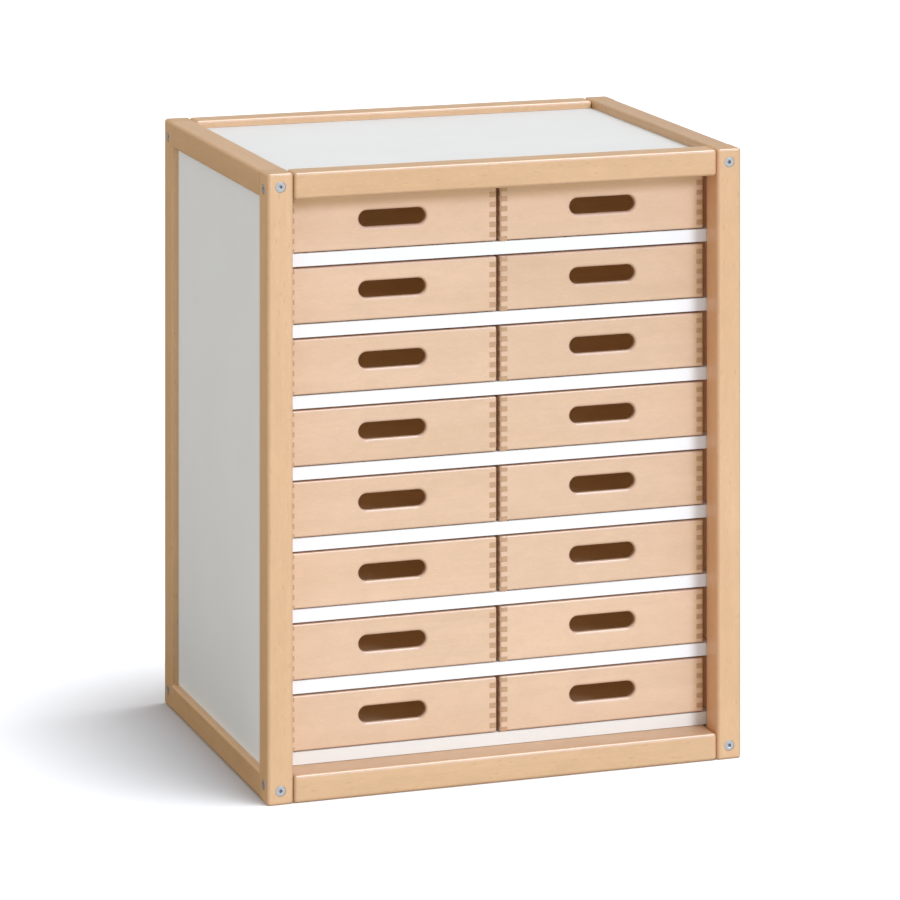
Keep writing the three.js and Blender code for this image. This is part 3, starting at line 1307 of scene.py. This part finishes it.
@dataclass
class Studio:
    """Pale floor, soft lights all round, the even light of the room, and the camera.

    The camera's picture, focal length and drop are in pixels, and its film is in millimetres.
    """

    wood: list[Thing]
    floor_reach: float = 40.0
    floor_cells: int = 8
    shade_top: float = -1.0 * MM
    shade_height: float = 1.0 * MM
    shade_margin: float = 0.30
    shade_inset: float = 0.03
    eye: Triple = (-2.1958, -6.4108, 1.9454)
    turn: float = math.radians(18.949)
    picture: float = 900.0
    film: float = 36.0
    focal: float = 4494.45
    drop: float = 1010.67
    sight: float = 100.0
    sky: float = 0.58
    ground_front: float = 0.78
    ground_rear: float = 0.14
    front_tint: Colour = (0.98, 1.0, 1.045, 1.0)
    rear_tint: Colour = (1.0, 0.95, 0.86, 1.0)
    front_to_rear: Span = (-0.6, 0.6)
    horizon: Span = (-0.2, 0.2)

    def floor(self) -> Thing:
        """Lays the floor, which the room's light passes, and a dark shade under the unit.

        Returns:
            The floor.
        """
        shape = bmesh.new()
        cells = self.floor_cells
        bmesh.ops.create_grid(shape, x_segments=cells, y_segments=cells, size=self.floor_reach)
        floor = new_object("studio_floor", mesh_from(shape))
        floor.data.materials.append(FLOOR.material())
        floor.visible_diffuse = False
        floor.visible_glossy = False
        low, high = CAD_BOX
        sole = self.shade_top - self.shade_height
        near = Vector((low.x - self.shade_margin, low.y + self.shade_inset, sole))
        far = Vector((high.x, high.y + self.shade_margin, self.shade_top))
        shade = new_object("studio_shade", plain_block((near, far)))
        shade.data.materials.append(SHADE.material())
        return floor

    def pieces(self, *words: str) -> list[Thing]:
        """The wooden pieces whose names hold one of some words."""
        return [piece for piece in self.wood if any(word in piece.name for word in words)]

    def light(self, floor: Thing) -> None:
        """Sets the lights of the whole unit, then those of the floor and of some of the wood.

        Args:
            floor: The floor, which has a light of its own.
        """
        FRONT_LIGHT.build(Reach.ALL_BUT, [floor, *self.wood])
        WOOD_LIGHT.build(Reach.ONLY, self.wood)
        for light in (KEY_LIGHT, EDGE_LIGHT, BACK_LIGHT):
            light.build(Reach.ALL_BUT, [floor])
        FILL_LIGHT.build(Reach.ALL_BUT, [floor, *self.pieces("right_top_rail")])
        FLOOR_LIGHT.build(Reach.ONLY, [floor])
        SHEEN_LIGHT.build(Reach.ONLY, self.wood)
        SLOT_LIGHT.build(Reach.ONLY, self.pieces("_bottom_board"))
        right_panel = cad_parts["right_side_panel"]
        GAP_LIGHT.build(Reach.ONLY, [*self.pieces("front_right_post"), right_panel])
        TOE_LIGHT.build(Reach.ONLY, self.pieces("_post_", "_bottom_rail_"))

    def room(self) -> None:
        """Gives the room its even light, with a bright floor in front and a dim one behind."""
        world = bpy.data.worlds.new("studio_room")
        world.use_nodes = True
        graph = NodeGraph(world.node_tree)
        towards = graph.node("ShaderNodeTexCoord", {}).outputs["Generated"]
        direction = graph.node("ShaderNodeSeparateXYZ", {"Vector": towards}).outputs
        ground = graph.ranged(direction["Y"], self.front_to_rear, (self.ground_front, self.ground_rear))
        behind = graph.ranged(direction["Y"], self.front_to_rear, WHOLE)
        background = world.node_tree.nodes["Background"]
        strength = graph.ranged(direction["Z"], self.horizon, (ground, self.sky))
        graph.feed(background.inputs["Strength"], strength)
        graph.feed(background.inputs["Color"], graph.mixed(behind, self.front_tint, self.rear_tint))
        bpy.context.scene.world = world

    def camera(self) -> None:
        """Sets the camera, whose picture plane stands upright so that uprights stay parallel."""
        right = Vector((math.cos(self.turn), -math.sin(self.turn), 0.0))
        ahead = Vector((math.sin(self.turn), math.cos(self.turn), 0.0))
        up = Vector((0.0, 0.0, 1.0))
        axis = ahead * self.focal - up * self.drop
        reach = axis.length
        axis.normalize()
        data = bpy.data.cameras.new("photo_camera")
        data.sensor_width = self.film
        data.lens = reach / self.picture * self.film
        data.clip_end = self.sight
        camera = new_object("photo_camera", data)
        stand = new_object("camera_stand", None)
        view = Matrix((right, up, -axis)).transposed().to_4x4()
        view.translation = Vector(self.eye)
        camera.parent = stand
        camera.matrix_parent_inverse = view
        bpy.context.scene.camera = camera

    def build(self) -> None:
        """Sets up the floor, the lights, the room and the camera."""
        self.light(self.floor())
        self.room()
        self.camera()
        bpy.context.scene.view_settings.view_transform = "Standard"


def main() -> None:
    """Builds the unit's sub-assemblies in order, then the studio round it."""
    logging.basicConfig(level=logging.INFO, format="%(message)s")
    bolts = ConnectingBolts()
    members = BeechFrame(bolts).build()
    bolts.build()
    WhiteBoards().build()
    boards = BeechTrays().build()
    Studio(members + boards).build()


if __name__ == "__main__":
    main()
